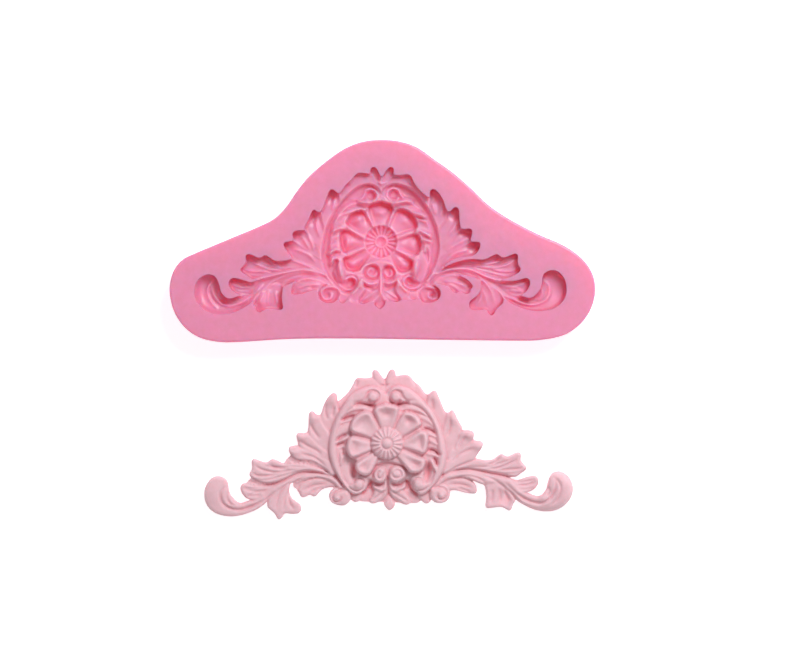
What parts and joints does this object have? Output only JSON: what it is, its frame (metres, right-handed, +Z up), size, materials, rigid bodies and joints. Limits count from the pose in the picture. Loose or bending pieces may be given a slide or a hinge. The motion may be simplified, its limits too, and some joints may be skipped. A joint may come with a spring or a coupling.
{
  "type": "resin casting mould",
  "caption": "One-part open silicone mould for a rosette and scroll applique, with the flat-backed resin casting that it makes lying beside it.",
  "frame": {"origin": "on the mould's underside, straight below the middle of the rosette", "axes": "+X along the length, +Y towards the crown of the slab's arch, +Z up out of the cavity"},
  "size_m": [0.1197, 0.1073, 0.011],
  "materials": {
    "silicone": "satin pink silicone rubber",
    "cast_resin": "matte pale pink cast resin"
  },
  "bodies": {
    "mould": {"mould": "silicone"},
    "casting": {"casting": "cast_resin"}
  },
  "joints": [
    {"name": "casting_lift", "type": "slide", "parent": "mould", "child": "casting", "axis": [0, 0, 1], "range_m": [0, 0.06]}
  ]
}
